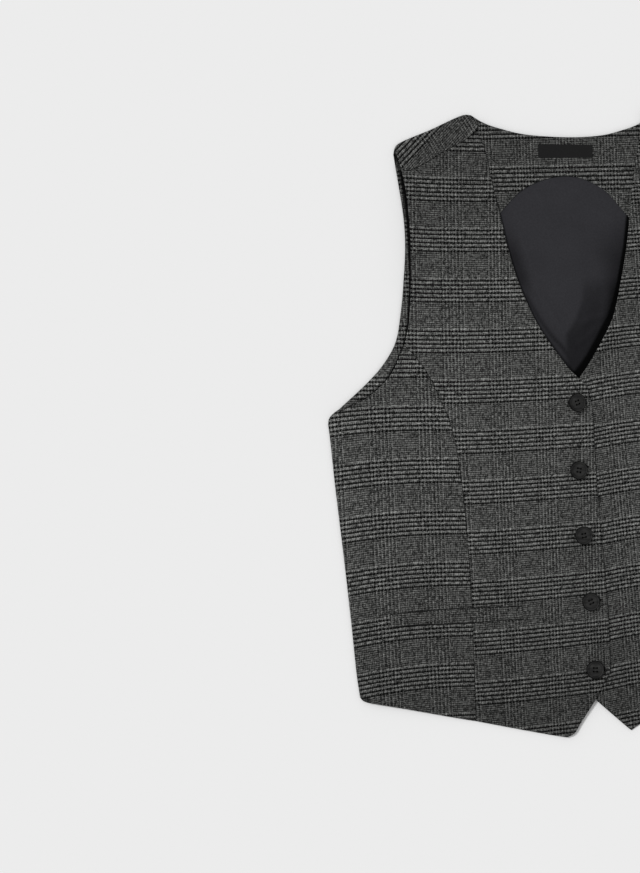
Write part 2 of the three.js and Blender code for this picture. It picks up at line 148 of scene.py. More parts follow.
# Soft fullness of the fronts: (across, down, half width, half length, rise)
FULLNESS = [
    (6, 226, 46, 58, 5.0),
    (-88, 205, 42, 85, 2.0),
    (92, 200, 46, 90, 2.4),
    (-60, 400, 60, 90, 1.2),
    (70, 390, 60, 90, 1.4),
    (-165, 420, 40, 90, 1.6),
    (168, 400, 40, 90, 1.4),
]
# Creases of the fronts: (across, down) of each end, half width, rise (a trough is below nought)
CREASES = [
    (-124, 184, -56, 246, 12, -1.0),
    (-96, 288, -34, 408, 20, 1.1),
    (-30, 258, -16, 330, 9, -0.7),
    (-108, 366, -72, 462, 14, -0.9),
    (-58, 498, -30, 530, 14, 0.6),
    (-154, 288, -118, 298, 9, -0.6),
    (-214, 274, -168, 304, 11, -0.9),
    (-85, 20, -73, 80, 10, -0.9),
    (-148, 50, -145, 110, 7, -0.7),
    (-118, 60, -96, 150, 15, 0.6),
    (-196, 330, -186, 440, 16, 0.7),
    (-150, 500, -125, 530, 14, -0.7),
    (30, 300, 60, 372, 16, -0.8),
    (44, 420, 92, 330, 18, 0.9),
    (20, 470, 66, 500, 12, -0.9),
    (126, 190, 62, 236, 13, -0.9),
    (210, 276, 160, 310, 12, -0.9),
    (86, 24, 74, 84, 10, -0.8),
    (196, 350, 182, 470, 16, 0.8),
]
# Folds of the back lining inside the V: (across, down) of each end, half width, rise
LINING_FOLDS = [
    (-4, 84, 6, 196, 30, 2.6),
    (-50, 96, -40, 156, 5, -0.8),
    (-40, 158, 0, 226, 2.6, -1.8),
    (-33, 156, 4, 222, 3.2, 0.9),
    (28, 172, 6, 226, 9, -1.3),
    (10, 192, 30, 186, 2.4, 1.4),
    (4, 212, 20, 200, 2.2, 1.3),
    (16, 150, 40, 128, 8, -0.3),
]
# Painted shade of the lining in the V, all against the place down. Width of the deep painted shade by the left
# neckline:
LEFT_SHADE_WIDTH = [(20, 1), (60, 1.8), (109, 2.6), (170, 3.6), (200, 7), (222, 7), (237, 10)]
# Reach and depth of the soft shade beside it
LEFT_REACH = [(130, 36), (165, 13), (200, 9)]
LEFT_SOFT_SHADE = [(95, 0), (135, 0.55), (205, 0.5), (225, 0.6)]
# Inner side and strength of the painted shade of a dropped fold at the right of the V as seen
FALL_SIDE = [(150, 12.5), (157, 11.8), (171, 10.1), (189, 2.6), (202, -6.5), (222, -7.7), (235, -6)]
FALL_SHADE = [(150, 0), (163, 0.32), (189, 0.42), (202, 0.5), (240, 0.55)]
# Distance in from the right neckline of a long crease, and strength of the painted shade along it; depth of the
# painted shade above it
RIGHT_CREASE = [(160, 1.5), (168, 2.0), (187, 4.3), (201, 5.8), (213, 8.9), (223, 8.6), (235, 6)]
RIGHT_CREASE_SHADE = [(155, 0), (166, 0.5), (225, 0.58), (238, 0.5)]
RIGHT_SHADE = [(100, 0), (125, 0.5), (150, 0.5), (168, 0)]
# Width of the painted shadow beside the front's armhole, cast by its raised edge: (down, width)
ARMHOLE_SHADE_WIDTH = [(25, 2.2), (45, 2.8), (90, 2.4), (140, 1.6), (200, 1.5), (250, 1.0)]
# The back from behind: (across, down) of each end, half width, dip
BACK_CREASES = [
    (-190, 275, -60, 330, 16, 0.25),
    (186, 270, 70, 340, 14, 0.25),
    (-40, 380, 30, 470, 20, 0.2),
]

# --- the cloth's grain

# Check repeats counted across and down each piece, from x and d, across and down in hundreds of millimetres:
# steady part, then shares of x, d, xd, dd, xx, xxx, xxd and ddd
GRAIN = dict(
    right_centre=(
        (2.319, 2.23, 0.185, 0.0954, -0.0132, -0.0979, -0.0316, 0.0428),
        (-1.2625, -0.143, 2.2052, 0.059, -0.0007, -0.0088, -0.0214, 0.0073, 0.0003),
    ),
    right_side=(
        (3.755, 2.187, 0.1302, 0.0187, -0.0086, 0.011),
        (-4.5694, -0.172, 2.002, -0.038, 0.0101, 0.0894, 0.0286, -0.0325, 0.0008),
    ),
    left_centre=((-0.658, 2.551, -0.066), (-1.624, 0.386, 2.311, 0.0206, -0.0069, -0.296)),
    left_side=((0.31, 2.3, -0.03), (-1.491, -0.1, 2.333, 0, -0.0069)),
    facing=((0.917, 2.606, 0.032), (-0.939, -0.059, 2.06, -0.03)),
    back=((0.917, 2.606, 0.032), (-0.939, -0.08, 2.09)),
    right_strip=((2.884, 2.187, -1.147), (2.1, 1.524, 1.613)),
    left_strip=((2.884, -2.187, -1.147), (2.1, -1.524, 1.613)),
    right_welt=((3.127, 2.262), (-8.808, 0, 2.1)),
    left_welt=((0.37, 2.4), (-8.808, 0, 2.1)),
)
WARP_THREADS, WARP_BOLD = 108, 56
WEFT_THREADS, WEFT_BOLD = 96, 48

# --- tones

CHECK_DARK, CHECK_LIGHT, TONE_CURVE = 0.0, 0.14, 1.3
# Painted light: shares that scale the wool's colour by place, darker towards the top and hem and lighter outwards
CHECK_PAINTED_LIGHT = dict(Even=0.97, Upward=0.2, Far=-4.0, Outward=0.4)
LINING_GREY, LABEL_GREY = 0.0275, 0.0085
LINING_TINT = (1.0, 0.99, 1.12)
THREAD_DARK, THREAD_LIGHT = 0.002, 0.013
BUTTON_DARK, BUTTON_LIGHT = 0.008, 0.037
FLOOR_ALBEDO = 0.8


def repeats(grain, across, down):
    """Check repeats over a plan: the sum of the grain's shares of products of across and down."""
    x, d = across / 100, down / 100
    terms = [np.ones_like(x), x, d, x * d, d * d, x * x, x**3, x * x * d, d**3]
    return np.stack([sum(k * t for k, t in zip(row, terms)) for row in GRAIN[grain]], -1)


# --- curves and surfaces


def line(rows, side=1):
    """Centripetal Catmull-Rom curve through the rows, as a function of the share of its own length."""
    p = np.array([(side * out, MID_LENGTH - down) for out, down in rows], float)
    p = np.vstack([2 * p[0] - p[1], p, 2 * p[-1] - p[-2]])
    gap = np.sqrt(np.linalg.norm(np.diff(p, axis=0), axis=1))[:, None]
    p0, p1, p2, p3 = p[:-3], p[1:-2], p[2:-1], p[3:]
    g0, g1, g2 = gap[:-2], gap[1:-1], gap[2:]
    m1 = ((p1 - p0) / g0 - (p2 - p0) / (g0 + g1) + (p2 - p1) / g1) * g1
    m2 = ((p2 - p1) / g1 - (p3 - p1) / (g1 + g2) + (p3 - p2) / g2) * g1
    s = np.linspace(0, 1, 48)[None, :, None]
    cubic = p1[:, None] + m1[:, None] * s + (3 * (p2 - p1) - 2 * m1 - m2)[:, None] * s**2
    dense = (cubic + (2 * (p1 - p2) + m1 + m2)[:, None] * s**3).reshape(-1, 2)
    run = np.concatenate([[0], np.cumsum(np.linalg.norm(np.diff(dense, axis=0), axis=1))])

    def at(t):
        way = np.clip(t, 0, 1) * run[-1]
        return np.stack([np.interp(way, run, dense[:, k]) for k in (0, 1)], -1)

    return at


def chain(*parts):
    """Curves end to end: each (end share, curve) runs from the last end share to its own."""

    def at(t):
        t = np.asarray(t, float)
        places, start = np.zeros(t.shape + (2,)), 0.0
        for end, curve in parts:
            here = (t >= start - 1e-9) & (t <= end + 1e-9)
            places[here] = curve((t[here] - start) / (end - start))
            start = end
        return places

    return at


def backwards(curve):
    """The same curve run the other way."""
    return lambda t: curve(1 - np.asarray(t))


def stations(length, step=STEP, stops=()):
    """Shares of a length in even steps that meet each stop, closer together by the turned edges."""
    turned = np.array([0, 0.06, 0.2, 0.42, 0.7, 1.0, 1.5]) * EDGE_TURN / length
    marks = [turned[-1], *stops, 1 - turned[-1]]
    body = [
        np.linspace(a, b, max(2, round((b - a) * length / step) + 1))
        for a, b in zip(marks[:-1], marks[1:])
    ]
    return np.unique(np.round(np.concatenate([turned, *body, 1 - turned]), 9))


def patch(south, north, west, east, us, vs):
    """Coons patch: both ruled surfaces between facing edges, added, less the plane of the four corners."""
    u, v = us[None, :, None], vs[:, None, None]
    s, n = south(us)[None], north(us)[None]
    w, e = west(vs)[:, None], east(vs)[:, None]
    corners = (1 - u) * (1 - v) * s[:, :1] + u * (1 - v) * s[:, -1:]
    corners = corners + (1 - u) * v * n[:, :1] + u * v * n[:, -1:]
    return (1 - v) * s + v * n + (1 - u) * w + u * e - corners


def ease(low, high, x):
    """Smooth step: three times the square less twice the cube of the share from low to high."""
    t = np.clip((x - low) / (high - low), 0, 1)
    return t * t * (3 - 2 * t)


def bell(x, width):
    """One at nought, falling off to either side: the exponential of less the square of x over the width."""
    return np.exp(-((x / width) ** 2))


def from_edges(plan):
    """Distance from the west, east, south and north edges of a grid, measured along its own lines."""
    across = np.linalg.norm(np.diff(plan, axis=1), axis=2)
    along = np.linalg.norm(np.diff(plan, axis=0), axis=2)
    west = np.pad(np.cumsum(across, 1), ((0, 0), (1, 0)))
    south = np.pad(np.cumsum(along, 0), ((1, 0), (0, 0)))
    return west, west[:, -1:] - west, south, south[-1:] - south


def creases(rows, x, down):
    """Soft ridges and troughs: a bell across each line, fading out beyond both its ends."""
    rise = np.zeros_like(x)
    for x0, d0, x1, d1, width, height in rows:
        length = math.hypot(x1 - x0, d1 - d0)
        ux, ud = (x1 - x0) / length, (d1 - d0) / length
        t = (x - x0) * ux + (down - d0) * ud
        off = (x - x0) * -ud + (down - d0) * ux
        fade = ease(-0.35 * length, 0.3 * length, t) * ease(1.35 * length, 0.7 * length, t)
        sway = 0.25 * width * np.sin(t / length * 5 + x0)
        rise += height * bell(off - sway, width) * fade
    return rise


def fullness(x, down):
    """Sum of round swellings: each a bell of its own half width and half length."""
    return sum(
        rise * np.exp(-(((x - cx) / wide) ** 2) - ((down - cd) / long) ** 2)
        for cx, cd, wide, long, rise in FULLNESS
    )


def ripple(x, down, size):
    """Fine unevenness of pressed cloth: three crossing waves of unlike lengths."""
    a = np.sin(x / 23 + down / 71 + 1.3) * np.sin(down / 37 - x / 95)
    b = np.sin(x / 11.5 - down / 29 + 0.4) * np.sin(down / 17 + x / 41)
    c = np.sin(x / 6.3 + down / 9.1) * np.sin(down / 13 - x / 7.7)
    return size * (0.5 * a + 0.3 * b + 0.12 * c)


# --- making the pieces

plan_at = np.array([(a + b) / 2 for a, b in zip(*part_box("neck_label"))][:2]) * 1000
plan_shift = plan_at - np.array([LABEL["across"], MID_LENGTH - LABEL["down"]])


def piece(name, points, faces, material, uv=None, painted_shade=None):
    """A mesh from points in millimetres and faces; each point may have a place on the weave and a painted shade."""
    points = np.asarray(points, float).copy()
    points[:, :2] += plan_shift
    mesh = bpy.data.meshes.new(name)
    mesh.from_pydata([], [], [])
    faces = [np.asarray(f, np.int32) for f in (faces if isinstance(faces, list) else [faces])]
    corners = np.concatenate([f.ravel() for f in faces])
    counts = np.concatenate([np.full(len(f), f.shape[1]) for f in faces])
    mesh.vertices.add(len(points))
    mesh.vertices.foreach_set("co", (points / 1000).ravel())
    mesh.loops.add(len(corners))
    mesh.loops.foreach_set("vertex_index", corners)
    mesh.polygons.add(len(counts))
    mesh.polygons.foreach_set("loop_start", np.concatenate([[0], np.cumsum(counts)[:-1]]).astype(np.int32))
    mesh.polygons.foreach_set("use_smooth", np.ones(len(counts), bool))
    if uv is not None:
        mesh.uv_layers.new(name="Repeats").data.foreach_set("uv", np.asarray(uv)[corners].ravel())
    # Painted shade, stored on the mesh for the materials to darken the colour
    if painted_shade is not None:
        stored = mesh.attributes.new("painted_shade", "FLOAT", "POINT")
        stored.data.foreach_set("value", np.asarray(painted_shade, np.float32))
    mesh.materials.append(material)
    mesh.update(calc_edges=True)
    mesh.validate()
    thing = bpy.data.objects.new(name, mesh)
    bpy.context.scene.collection.objects.link(thing)
    return thing


def grid_faces(ids):
    """Quads over a grid of point numbers, wound to face up."""
    return np.stack([ids[:-1, :-1], ids[:-1, 1:], ids[1:, 1:], ids[1:, :-1]], -1).reshape(-1, 4)


def cloth(name, plan, under, wall, material, grain_uv=None, turns=(EDGE_TURN,) * 4, painted_shade=None):
    """A closed thin shell: under and under plus wall, drawn together to a half round along every edge.

    The half wall at a distance d inside an edge is the root of 1 less the square of (1 less d over the turn);
    turns are for the west, east, south and north edges. The painted shade of each point, up to 1, darkens its colour
    in folds and gaps.
    """
    near = np.minimum.reduce([d / turn for d, turn in zip(from_edges(plan), turns)])
    half = wall / 2 * np.sqrt(1 - (1 - np.clip(near, 0, 1)) ** 2)
    middle = under + wall / 2
    rows, cols = near.shape
    top = np.dstack([plan, middle + half]).reshape(-1, 3)
    low = np.dstack([plan, middle - half]).reshape(-1, 3)
    upper = np.arange(rows * cols).reshape(rows, cols)
    inner = np.ones((rows, cols), bool)
    inner[[0, -1], :] = inner[:, [0, -1]] = False
    lower = upper.copy()
    lower[inner] = rows * cols + np.arange(inner.sum())
    points = np.vstack([top, low[inner.ravel()]])
    faces = [grid_faces(upper), grid_faces(lower)[:, ::-1]]
    along, up = plan[0, -1] - plan[0, 0], plan[-1, 0] - plan[0, 0]
    if along[0] * up[1] - along[1] * up[0] < 0:
        faces = [f[:, ::-1] for f in faces]
    at = np.concatenate([upper.ravel(), upper[inner]])
    uv = None if grain_uv is None else grain_uv.reshape(-1, 2)[at]
    return piece(name, points, faces, material, uv, None if painted_shade is None else painted_shade.ravel()[at])


def sewn(thing, node, plan=None, flat=None):
    """Rides the piece on the garment in place of its CAD node, which it hides; a panel's cut size is worked out but
    not kept.
    """
    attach(thing, "root")
    if node:
        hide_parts(*([node] if isinstance(node, str) else node))
    if plan is not None:
        size = np.ptp(plan.reshape(-1, 2), axis=0) / 1000 if flat is None else flat
        flat = tuple(float(s) for s in size)
    return thing


def split(plan):
    """Across and down, in millimetres, of a plan."""
    return plan[..., 0], MID_LENGTH - plan[..., 1]


# --- shader node groups


def node(tree, kind, feeds=(), **settings):
    """Adds a node, sets it up, and feeds its inputs with sockets or values; gives back the node."""
    made = tree.nodes.new(kind)
    for key, value in settings.items():
        setattr(made, key, value)
    for place, value in dict(feeds).items():
        if isinstance(value, bpy.types.NodeSocket):
            tree.links.new(value, made.inputs[place])
        else:
            made.inputs[place].default_value = value
    return made


def sums(tree, operation, *values):
    """One Math node's answer."""
    return node(tree, "ShaderNodeMath", dict(enumerate(values)), operation=operation).outputs[0]


def blend(tree, share, low, high, how="MIX"):
    """One Mix node's colour."""
    feeds = {"Factor": share, 6: low, 7: high}
    return node(tree, "ShaderNodeMix", feeds, data_type="RGBA", blend_type=how).outputs[2]


def group(name, inputs, outputs):
    """An empty node group with named sockets; gives back the group, its inputs and its output node."""
    made = bpy.data.node_groups.new(name, "ShaderNodeTree")
    for label, kind, value in inputs:
        socket = made.interface.new_socket(label, in_out="INPUT", socket_type=kind)
        if value is not None:
            socket.default_value = value
    for label, kind in outputs:
        made.interface.new_socket(label, in_out="OUTPUT", socket_type=kind)
    way_in = made.nodes.new("NodeGroupInput")
    return made, way_in.outputs, made.nodes.new("NodeGroupOutput")


def placed(tree, which, **feeds):
    """Places a group in a material, its inputs named with underscores for spaces."""
    named = {key.replace("_", " "): value for key, value in feeds.items()}
    return node(tree, "ShaderNodeGroup", named, node_tree=which).outputs


NUMBER, VECTOR = "NodeSocketFloat", "NodeSocketVector"


def glen_check_group():
    """Light and dark threads of a glen check in a two-and-two twill.

    A repeat's warp is a bold part, four dark and four light in turn, and a fine part, two and two; so is its
    weft. Where a warp and a weft cross, the warp shows if its number less the weft's, over four, leaves 2 or 3.
    The tone is one half, and as much again by the thread that shows and by each bold line it lies in.
    """
    made, given, out = group(
        "Glen check",
        [
            ("Repeats", VECTOR, None),
            ("Warp threads", NUMBER, WARP_THREADS),
            ("Warp bold", NUMBER, WARP_BOLD),
            ("Weft threads", NUMBER, WEFT_THREADS),
            ("Weft bold", NUMBER, WEFT_BOLD),
            ("Thread tone", NUMBER, 0.5),
            ("Warp line", NUMBER, 0.07),
            ("Weft line", NUMBER, 0.46),
        ],
        [("Tone", NUMBER), ("Height", NUMBER)],
    )
    at = node(made, "ShaderNodeSeparateXYZ", {0: given["Repeats"]}).outputs

    def threads(place, count, bold, centred, light_first):
        shift = sums(made, "DIVIDE", sums(made, "MULTIPLY", bold, 0.5 * centred), count)
        run = sums(made, "MULTIPLY", sums(made, "FRACT", sums(made, "ADD", place, shift)), count)
        number = sums(made, "FLOOR", run)
        four = sums(made, "LESS_THAN", sums(made, "FLOORED_MODULO", number, 8.0), 4.0)
        two = sums(made, "LESS_THAN", sums(made, "FLOORED_MODULO", number, 4.0), 2.0)
        in_bold = sums(made, "LESS_THAN", number, bold)
        first = sums(made, "MULTIPLY_ADD", sums(made, "SUBTRACT", four, two), in_bold, two)
        light = first if light_first else sums(made, "SUBTRACT", 1.0, first)
        line_tone = sums(made, "MULTIPLY", sums(made, "SUBTRACT", light, 0.5), in_bold)
        side = sums(made, "MULTIPLY_ADD", sums(made, "FRACT", run), 2.0, -1.0)
        high = sums(made, "SUBTRACT", 1.0, sums(made, "MULTIPLY", side, side))
        return number, light, line_tone, high

    def pick(share, low, high):
        return sums(made, "MULTIPLY_ADD", sums(made, "SUBTRACT", high, low), share, low)

    warp, warp_light, warp_line, warp_high = threads(at[0], given["Warp threads"], given["Warp bold"], 1, False)
    weft, weft_light, weft_line, weft_high = threads(at[1], given["Weft threads"], given["Weft bold"], 0, True)
    step = sums(made, "FLOORED_MODULO", sums(made, "SUBTRACT", warp, weft), 4.0)
    warp_up = sums(made, "GREATER_THAN", step, 1.5)
    shown = sums(made, "SUBTRACT", pick(warp_up, weft_light, warp_light), 0.5)
    tone = sums(made, "MULTIPLY_ADD", shown, given["Thread tone"], 0.5)
    tone = sums(made, "MULTIPLY_ADD", warp_line, given["Warp line"], tone)
    tone = sums(made, "MULTIPLY_ADD", weft_line, given["Weft line"], tone)
    made.links.new(tone, out.inputs["Tone"])
    made.links.new(pick(warp_up, weft_high, warp_high), out.inputs["Height"])
    return made


def heather_group():
    """Uneven yarn: two noises, one drawn out along the warp and one along the weft, and a fine one; about nought.

    Width and length are counted in threads.
    """
    made, given, out = group(
        "Heather",
        [
            ("Repeats", VECTOR, None),
            ("Warp threads", NUMBER, WARP_THREADS),
            ("Weft threads", NUMBER, WEFT_THREADS),
            ("Width", NUMBER, 2.3),
            ("Length", NUMBER, 7.0),
            ("Strength", NUMBER, 3.3),
        ],
        [("Shade", NUMBER)],
    )
    spread = node(made, "ShaderNodeSeparateXYZ", {0: given["Repeats"]}).outputs
    counts = (given["Warp threads"], given["Weft threads"])
    at = [sums(made, "MULTIPLY", spread[k], count) for k, count in enumerate(counts)]
    total = -1.35
    drawn_out = (("Width", "Length", 3.7, 1.0), ("Length", "Width", 91.3, 1.0), ("Width", "Width", 47.1, 0.7))
    for across, along, offset, share in drawn_out:
        drawn = {
            0: sums(made, "DIVIDE", at[0], given[across]),
            1: sums(made, "DIVIDE", at[1], given[along]),
            2: offset,
        }
        place = node(made, "ShaderNodeCombineXYZ", drawn).outputs[0]
        noise = node(made, "ShaderNodeTexNoise", {"Vector": place, "Scale": 1.0, "Detail": 1.0}).outputs[0]
        total = sums(made, "MULTIPLY_ADD", noise, share, total)
    made.links.new(sums(made, "MULTIPLY", total, given["Strength"]), out.inputs["Shade"])
    return made


def fibre_group():
    """Uneven fibre: fine noise stretched along one way, and a broad soft one, both about one half."""
    made, given, out = group(
        "Fibre",
        [("Place", VECTOR, None), ("Fine size", NUMBER, 900.0), ("Broad size", NUMBER, 14.0)],
        [("Fine", NUMBER), ("Broad", NUMBER)],
    )
    for label, detail in (("Fine", 2.0), ("Broad", 3.0)):
        feeds = {"Vector": given["Place"], "Scale": given[f"{label} size"], "Detail": detail}
        made.links.new(node(made, "ShaderNodeTexNoise", feeds).outputs[0], out.inputs[label])
    return made


def painted_shading_group():
    """Painted light and shade: the share of its colour that cloth keeps. It is 1 less the loss times the painted
    shade, times an even part and shares of its place's length, the square of that length, and its distance out
    from the middle; these shares paint the light darker or brighter by place.
    """
    made, given, out = group(
        "Depth",
        [
            ("Hollow", NUMBER, 0.0),
            ("Place", VECTOR, None),
            ("Loss", NUMBER, 0.97),
            ("Even", NUMBER, 1.0),
            ("Upward", NUMBER, 0.0),
            ("Far", NUMBER, 0.0),
            ("Outward", NUMBER, 0.0),
        ],
        [("Kept", NUMBER)],
    )
    at = node(made, "ShaderNodeSeparateXYZ", {0: given["Place"]}).outputs
    kept = sums(made, "MULTIPLY_ADD", at[1], given["Far"], given["Upward"])
    kept = sums(made, "MULTIPLY_ADD", at[1], kept, given["Even"])
    kept = sums(made, "MULTIPLY_ADD", sums(made, "ABSOLUTE", at[0]), given["Outward"], kept)
    lost = sums(made, "SUBTRACT", 1.0, sums(made, "MULTIPLY", given["Hollow"], given["Loss"]))
    made.links.new(sums(made, "MULTIPLY", kept, lost), out.inputs["Kept"])
    return made


glen_check, heather, fibre, painted_shading = glen_check_group(), heather_group(), fibre_group(), painted_shading_group()


def material(name, rough, specular):
    """A material with its shader's constants set; gives back the material, its tree, its shader and its place."""
    made = bpy.data.materials.new(name)
    made.use_nodes = True
    tree = made.node_tree
    shader = tree.nodes["Principled BSDF"]
    shader.inputs["Roughness"].default_value = rough
    shader.inputs["Specular IOR Level"].default_value = specular
    place = node(tree, "ShaderNodeTexCoord").outputs["Object"]
    return made, tree, shader, place


def raised(tree, shader, height, distance, strength=1.0):
    """Feeds the shader's normal from a height in metres."""
    bump = node(tree, "ShaderNodeBump", {"Height": height, "Distance": distance, "Strength": strength})
    tree.links.new(bump.outputs[0], shader.inputs["Normal"])


def grey(level, tint=(1.0, 1.0, 1.0)):
    """A colour of one level, its red, green and blue scaled by a tint."""
    return tuple(level * t for t in tint) + (1.0,)


def even(tree, level):
    """A grey whose level is a socket."""
    return node(tree, "ShaderNodeCombineColor", {0: level, 1: level, 2: level}).outputs[0]


def coloured(tree, shader, colour, share):
    """Feeds the shader's base colour with a share of a colour."""
    tree.links.new(blend(tree, 1.0, colour, even(tree, share), "MULTIPLY"), shader.inputs["Base Color"])


def kept_share(tree, place, **shares):
    """Share of its colour that a piece keeps: painted shade from its mesh, and painted light by place where shares are
    given.
    """
    shade_paint = node(tree, "ShaderNodeAttribute", attribute_name="painted_shade").outputs["Fac"]
    return placed(tree, painted_shading, Hollow=shade_paint, Place=place, **shares)["Kept"]


def check_cloth():
    """Wool twill in dark and light grey threads, each a little uneven."""
    made, tree, shader, place = material("Glen check wool", 0.95, 0.08)
    spread = node(tree, "ShaderNodeUVMap", uv_map="Repeats").outputs[0]
    weave = placed(tree, glen_check, Repeats=spread)
    yarn = placed(tree, heather, Repeats=spread)
    fuzz = placed(tree, fibre, Place=place, Fine_size=1500.0, Broad_size=22.0)
    curve = {0: weave["Tone"], 1: TONE_CURVE}
    cover = node(tree, "ShaderNodeMath", curve, operation="POWER", use_clamp=True).outputs[0]
    colour = blend(tree, cover, grey(CHECK_DARK, (1.0, 1.0, 1.04)), grey(CHECK_LIGHT, (1.0, 1.01, 0.975)))
    broad = sums(tree, "MULTIPLY_ADD", fuzz["Broad"], 0.16, 0.92)
    uneven = sums(tree, "MAXIMUM", sums(tree, "ADD", yarn["Shade"], broad), 0.2)
    # Painted light and shade: the wool's colour scaled by place, and darkened by the painted shade on the mesh
    coloured(tree, shader, colour, sums(tree, "MULTIPLY", uneven, kept_share(tree, place, **CHECK_PAINTED_LIGHT)))
    high = sums(tree, "MULTIPLY_ADD", fuzz["Fine"], 0.6, weave["Height"])
    raised(tree, shader, high, 0.0001, 0.6)
    return made


def lining_satin():
    """Dark satin with a faint twill rib and soft unevenness."""
    made, tree, shader, place = material("Lining satin", 0.5, 0.03)
    fuzz = placed(tree, fibre, Place=place, Fine_size=700.0, Broad_size=30.0)
    shade = sums(tree, "MULTIPLY_ADD", fuzz["Fine"], 0.5, 0.75)
    broad = sums(tree, "MULTIPLY_ADD", fuzz["Broad"], 0.3, 0.85)
    # Painted shade on the mesh darkens the lining in the V
    level = sums(tree, "MULTIPLY", sums(tree, "MULTIPLY", shade, broad), kept_share(tree, place))
    coloured(tree, shader, grey(LINING_GREY, LINING_TINT), level)
    at = node(tree, "ShaderNodeSeparateXYZ", {0: place}).outputs
    rib = sums(tree, "SINE", sums(tree, "MULTIPLY", sums(tree, "ADD", at[0], at[1]), 6000.0))
    raised(tree, shader, sums(tree, "MULTIPLY_ADD", rib, 0.1, fuzz["Broad"]), 0.0006, 0.6)
    return made


def label_weave():
    """Black woven ribbon with fine cross ribs."""
    made, tree, shader, place = material("Label ribbon", 0.75, 0.12)
    fuzz = placed(tree, fibre, Place=place, Fine_size=1200.0, Broad_size=60.0)
    turned = node(tree, "ShaderNodeMapping", {"Vector": place, "Rotation": (0.0, 0.0, math.radians(-LABEL["turn"]))})
    at = node(tree, "ShaderNodeSeparateXYZ", {0: turned.outputs[0]}).outputs
    rib = sums(tree, "SINE", sums(tree, "MULTIPLY", at[1], 9000.0))
    level = sums(tree, "MULTIPLY_ADD", fuzz["Fine"], 0.6, sums(tree, "MULTIPLY_ADD", rib, 0.18, 0.7))
    coloured(tree, shader, grey(LABEL_GREY), level)
    raised(tree, shader, rib, 0.00008, 0.6)
    return made


def button_resin():
    """Dark grey moulded resin, clouded in tone, with lighter drawn-out lines painted as sheen."""
    made, tree, shader, place = material("Button resin", 0.42, 0.1)
    fuzz = placed(tree, fibre, Place=place, Fine_size=520.0, Broad_size=160.0)
    sheen_stretch = {"Vector": place, "Scale": (140.0, 420.0, 140.0), "Rotation": (0, 0, 0.5)}
    stretched = node(tree, "ShaderNodeMapping", sheen_stretch)
    # Painted sheen: lighter lines drawn out one way; the broad cloud added to it is the resin's own tone
    painted_sheen_streak = node(tree, "ShaderNodeTexNoise", {"Vector": stretched.outputs[0], "Scale": 1.0, "Detail": 3.0}).outputs[0]
    cloud = sums(tree, "MULTIPLY_ADD", painted_sheen_streak, 1.4, -0.2)
    level = sums(tree, "MULTIPLY_ADD", fuzz["Broad"], 0.7, cloud)
    share = node(tree, "ShaderNodeMapRange", {"Value": level, "From Min": 0.5, "From Max": 1.3}).outputs[0]
    colour = blend(tree, share, grey(BUTTON_DARK), grey(BUTTON_LIGHT, (1.0, 1.0, 0.97)))
    # Painted shade on the mesh darkens the side wall, a ring by the dish and the holes
    coloured(tree, shader, colour, kept_share(tree, place))
    tree.links.new(sums(tree, "MULTIPLY_ADD", fuzz["Fine"], 0.25, 0.28), shader.inputs["Roughness"])
    raised(tree, shader, fuzz["Fine"], 0.00004, 0.5)
    return made


def dark_thread():
    """Twisted sewing thread, nearly black."""
    made, tree, shader, place = material("Sewing thread", 0.8, 0.04)
    fuzz = placed(tree, fibre, Place=place, Fine_size=2400.0, Broad_size=200.0)
    colour = blend(tree, fuzz["Fine"], grey(THREAD_DARK), grey(THREAD_LIGHT))
    tree.links.new(colour, shader.inputs["Base Color"])
    raised(tree, shader, fuzz["Fine"], 0.00008, 0.6)
    return made


def floor_paint():
    """Even pale matt board."""
    made, tree, shader, place = material("Pale board", 0.9, 0.0)
    fuzz = placed(tree, fibre, Place=place, Fine_size=300.0, Broad_size=1.0)
    level = sums(tree, "MULTIPLY_ADD", fuzz["Fine"], 0.004, FLOOR_ALBEDO - 0.002)
    tree.links.new(even(tree, level), shader.inputs["Base Color"])
    return made


wool, satin, ribbon, resin, thread = check_cloth(), lining_satin(), label_weave(), button_resin(), dark_thread()

# --- back, facing, lining, label


def seamed(plan, edge):
    """Draws one edge of a plan in by the seam gap, fading out over ten millimetres."""
    distance = from_edges(plan)[edge][..., None]
    step = np.stack([plan[:, 1] - plan[:, 0], plan[:, -2] - plan[:, -1]], 1)
    rows = np.stack([plan[1] - plan[0], plan[-2] - plan[-1]], 0)
    way = step[:, edge][:, None] if edge < 2 else rows[edge - 2][None]
    way = way / np.linalg.norm(way, axis=-1, keepdims=True)
    return plan + way * SEAM_GAP * np.clip(1 - distance / 10, 0, 1)


def back_side(side):
    return chain(
        (0.5, line(SIDE_SEAM, side)),
        (0.56, backwards(line(UNDERARM, side))),
        (1.0, backwards(line(BACK_ARMHOLE, side))),
    )


def back_hem(t):
    """Level from side seam to side seam, dropped by a half sine."""
    out, down = SIDE_SEAM[0]
    return np.stack([-out + 2 * out * t, MID_LENGTH - down + BACK_HEM_DROP * np.sin(np.pi * t)], -1)


def make_back():
    """Coons patch between hem, sides and shoulders; its underside dips in shallow creases."""
    tip = [BACK_ARMHOLE[0], *SHOULDER_FOLD]
    top = chain((0.25, line(tip, -1)), (0.75, line(BACK_NECKLINE)), (1.0, backwards(line(tip, 1))))
    us = stations(430, 4.6, (0.25, 0.5, 0.75))
    vs = stations(520, 4.6, (0.5, 0.56))
    plan = patch(back_hem, top, back_side(-1), back_side(1), us, vs)
    x, down = split(plan)
    under = np.clip(creases(BACK_CREASES, x, down), 0, 0.25)
    # Painted shadow of the front's raised armhole edge, near the shoulder
    shade_paint = armhole_painted_shade(x, down) * ease(60, 45, down)
    made = cloth("back_panel_cloth", plan, under, BACK_WALL - 0.2, wool, repeats("back", x, down), painted_shade=shade_paint)
    return sewn(made, "back_panel", plan)


NECK_END, TIP_END = 0.24, 0.4
# Width and length of the box round each arched cut, in metres
FACING_CUT, LINING_CUT = (0.442, 0.320), (0.442, 0.452)


